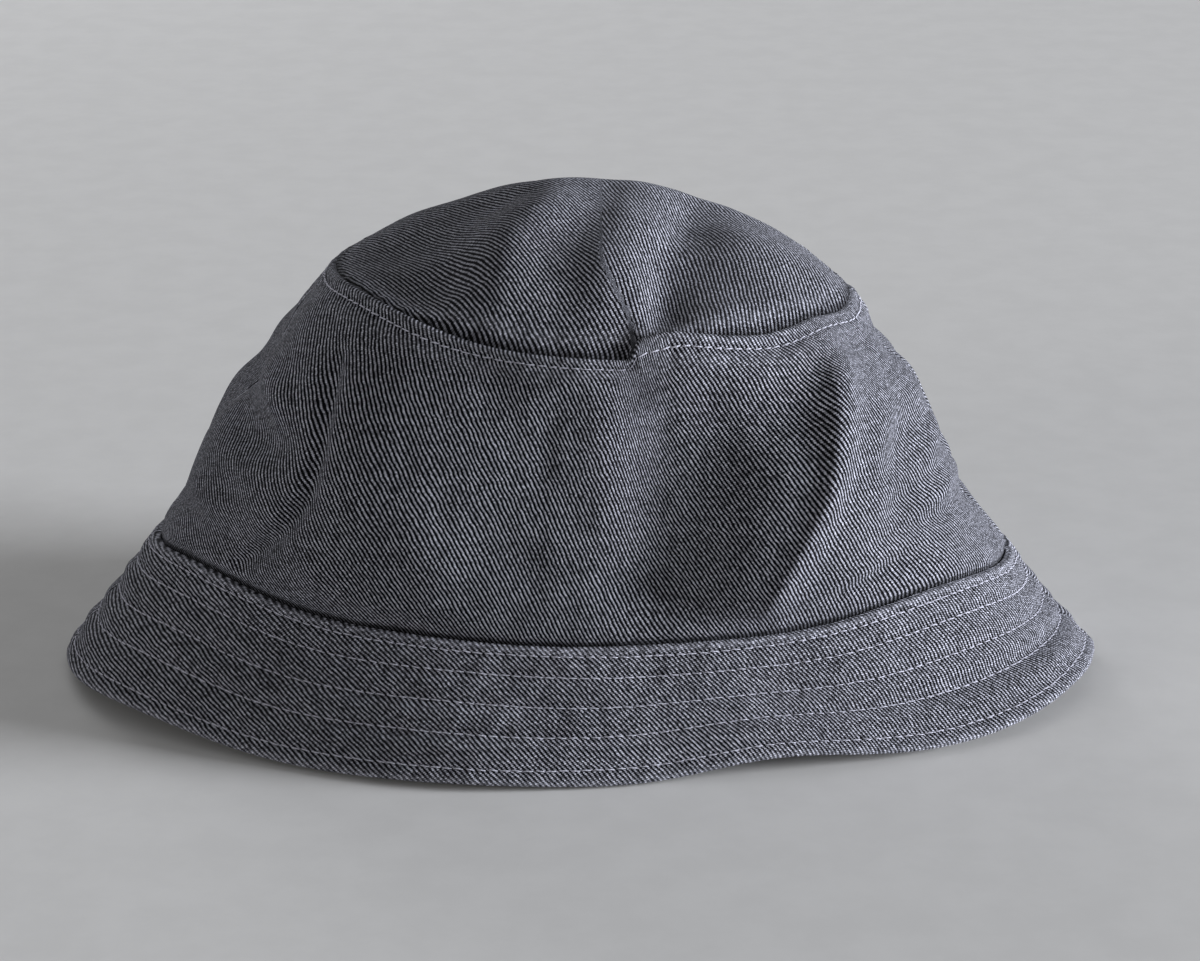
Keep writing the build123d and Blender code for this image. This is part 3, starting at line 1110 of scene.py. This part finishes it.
def close_ends(mesh, starts):
    """Closes both ends of every stitch, whose points begin at starts, with one face."""
    first = np.arange(STITCH_SIDES)
    last = first + (STITCH_RINGS.size - 1) * STITCH_SIDES
    bm = bmesh.new()
    bm.from_mesh(mesh)
    bm.verts.ensure_lookup_table()
    layer = bm.loops.layers.uv["cloth"]
    for start in starts:
        for ring in (first[::-1], last):
            face = bm.faces.new([bm.verts[i] for i in start + ring])
            face.smooth = True
            for loop in face.loops:
                loop[layer].uv = loop.vert.link_loops[0][layer].uv
    bmesh.ops.recalc_face_normals(bm, faces=bm.faces)
    bm.to_mesh(mesh)
    bm.free()


def on_upper_brim(row):
    """Places a sewn row on the brim's outer face."""

    def place(share, side, up):
        return brim_point(share, row + side, brim_relief(share, row + side) + up)

    return place


def on_under_brim(row):
    """Places a sewn row on the under brim's lower face."""

    def place(share, side, up):
        dips = np.minimum(under_relief(share, row + side), UNDER_DEEPEST)
        return brim_point(share, row + side, UNDER_IN + dips - up)

    return place


def on_tip_row(share, side, up):
    """Places the topstitching below the tip's seam."""
    h = TIP_ROW + side
    return crown_point(share, h, side_relief(share, h) + up)


def on_band_row(share, side, up):
    """Places the row that holds the sweatband, on the band's inner face."""
    h = BAND_ROW + side
    dips = row_dip(share, h, [BAND_ROW], 0.3)
    return crown_point(share, h, BAND_IN - BAND_SET - dips - up)


# ---------------- the hat
for half, (start, end) in HALVES.items():
    make_side_panel(half, start, end)
    make_side_lining(half, start, end)
    make_upper_brim(half, start, end)
    make_interlining(half, start, end)
    make_under_brim(half, start, end)
make_tip()
make_tip_lining()
make_sweatband()
make_label()
for k, (name, row) in enumerate(BRIM_ROWS.items()):
    length = SEAM_ROUND + (HEM_ROUND - SEAM_ROUND) * row / BRIM_SLOPE
    make_stitches(name, name, on_upper_brim(row), length, seed=20 + k)
    if row in UNDER_ROWS:
        make_stitches(f"{name}_bobbin", name, on_under_brim(row), length, seed=40 + k)
make_stitches("tip_topstitch", "tip_topstitch", on_tip_row, TIP_ROW_ROUND, seed=31)
make_stitches("sweatband_stitch", "sweatband_stitch", on_band_row, BAND_ROW_ROUND, seed=32)

# ---------------- floor
floor_graph = Graph("pale_floor")
speck = floor_graph.noise(floor_graph.node("TexCoord").outputs["Object"], 60.0, 4.0, 0.6)
floor_colour = floor_graph.mix(
    floor_graph.ramp(speck, 0.3, 0.7), (0.69, 0.685, 0.675), (0.72, 0.715, 0.705)
)
floor_bump = floor_graph.node(
    "Bump", {"Height": speck, "Strength": 0.05, "Distance": 0.0005}
)
floor_material = floor_graph.finish(floor_colour, 0.8, floor_bump.outputs[0])
bpy.ops.mesh.primitive_plane_add(size=8.0, location=(0, 0, -0.0002))
floor = bpy.context.object
floor.name = "floor"
floor.data.materials.append(floor_material)


# ---------------- lights
MIDDLE = Vector((0.0, 0.0, 0.06))  # of the hat, in metres


def area(name, place, size, power, colour):
    """A round soft light aimed at the hat."""
    data = bpy.data.lights.new(name, "AREA")
    data.shape, data.size, data.energy, data.color = "DISK", size, power, colour
    obj = bpy.data.objects.new(name, data)
    bpy.context.scene.collection.objects.link(obj)
    obj.location = place
    obj.rotation_mode = "QUATERNION"
    obj.rotation_quaternion = (MIDDLE - Vector(place)).to_track_quat("-Z", "Y")


area("key", (5.15, -0.60, 0.95), 2.0, 600.0, (0.92, 0.945, 1.0))
area("fill_left", (-2.3, -2.2, 0.78), 1.7, 21.5, (1.0, 0.98, 0.95))
area("top", (0.1, 0.4, 1.7), 1.2, 0.6, (1.0, 0.99, 0.97))
area("back", (-0.7, 1.5, 0.7), 1.0, 6.0, (0.97, 0.98, 1.0))

world = bpy.data.worlds.new("studio")
bpy.context.scene.world = world
world.use_nodes = True
background = world.node_tree.nodes["Background"]
background.inputs["Color"].default_value = (0.93, 0.94, 0.96, 1)
background.inputs["Strength"].default_value = 0.17

# ---------------- camera
ELEVATION = math.radians(21.0)
DISTANCE = 1.0
LENS, SENSOR = 109.2, 36.0
aim = Vector((0.0056, 0.0, 0.0517))
back = Vector((0, -math.cos(ELEVATION), math.sin(ELEVATION)))
camera_data = bpy.data.cameras.new("camera")
camera_data.lens, camera_data.sensor_width = LENS, SENSOR
camera = bpy.data.objects.new("camera", camera_data)
bpy.context.scene.collection.objects.link(camera)
camera.location = aim + back * DISTANCE
camera.rotation_mode = "QUATERNION"
camera.rotation_quaternion = (-back).to_track_quat("-Z", "Y")
bpy.context.scene.camera = camera

bpy.context.scene.view_settings.view_transform = "Standard"

bpy.context.view_layer.update()
